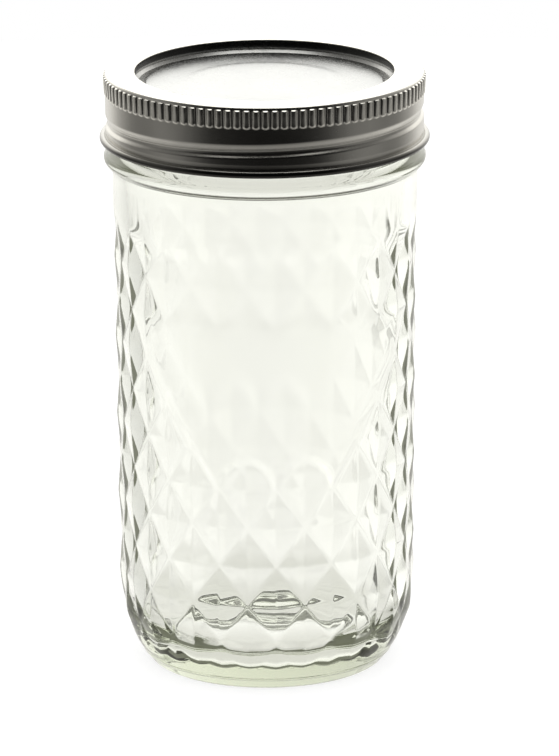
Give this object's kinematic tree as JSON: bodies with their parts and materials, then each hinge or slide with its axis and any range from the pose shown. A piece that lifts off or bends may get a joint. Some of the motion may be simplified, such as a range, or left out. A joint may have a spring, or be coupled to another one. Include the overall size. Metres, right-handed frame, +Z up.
{
  "type": "mason jar",
  "caption": "Straight-sided glass canning jar with a quilted diamond wall, a smooth label panel, a flat sealing lid and a knurled screw band that unscrews and lifts the lid.",
  "frame": {"origin": "centre of the foot ring, on the plane that the jar stands on", "axes": "+Z up along the jar's axis, -Y towards the front label panel"},
  "size_m": [0.0726, 0.0726, 0.1343],
  "materials": {
    "glass": "clear soda-lime glass, faint green tint in thick places",
    "lid_tinplate": "bright satin tinplate",
    "sealing_compound": "matt plastisol",
    "band_tinplate": "satin tinplate"
  },
  "bodies": {
    "jar": {"glass_jar": "glass"},
    "lid": {"lid_disc": "lid_tinplate", "sealing_ring": "sealing_compound"},
    "band": {"screw_band": "band_tinplate"}
  },
  "joints": [
    {"name": "lid_lift", "type": "slide", "parent": "jar", "child": "lid", "axis": [0, 0, 1], "range_m": [0, 0.01525]},
    {"name": "band_turn", "type": "hinge", "parent": "lid", "child": "band", "pos_m": [0, 0, 0.1267], "axis": [0, 0, 1], "range_deg": [0, 1080]}
  ],
  "couplings": [
    {"joint": "lid_lift", "follows": "band_turn", "m_per_rad": 0.00080851}
  ]
}
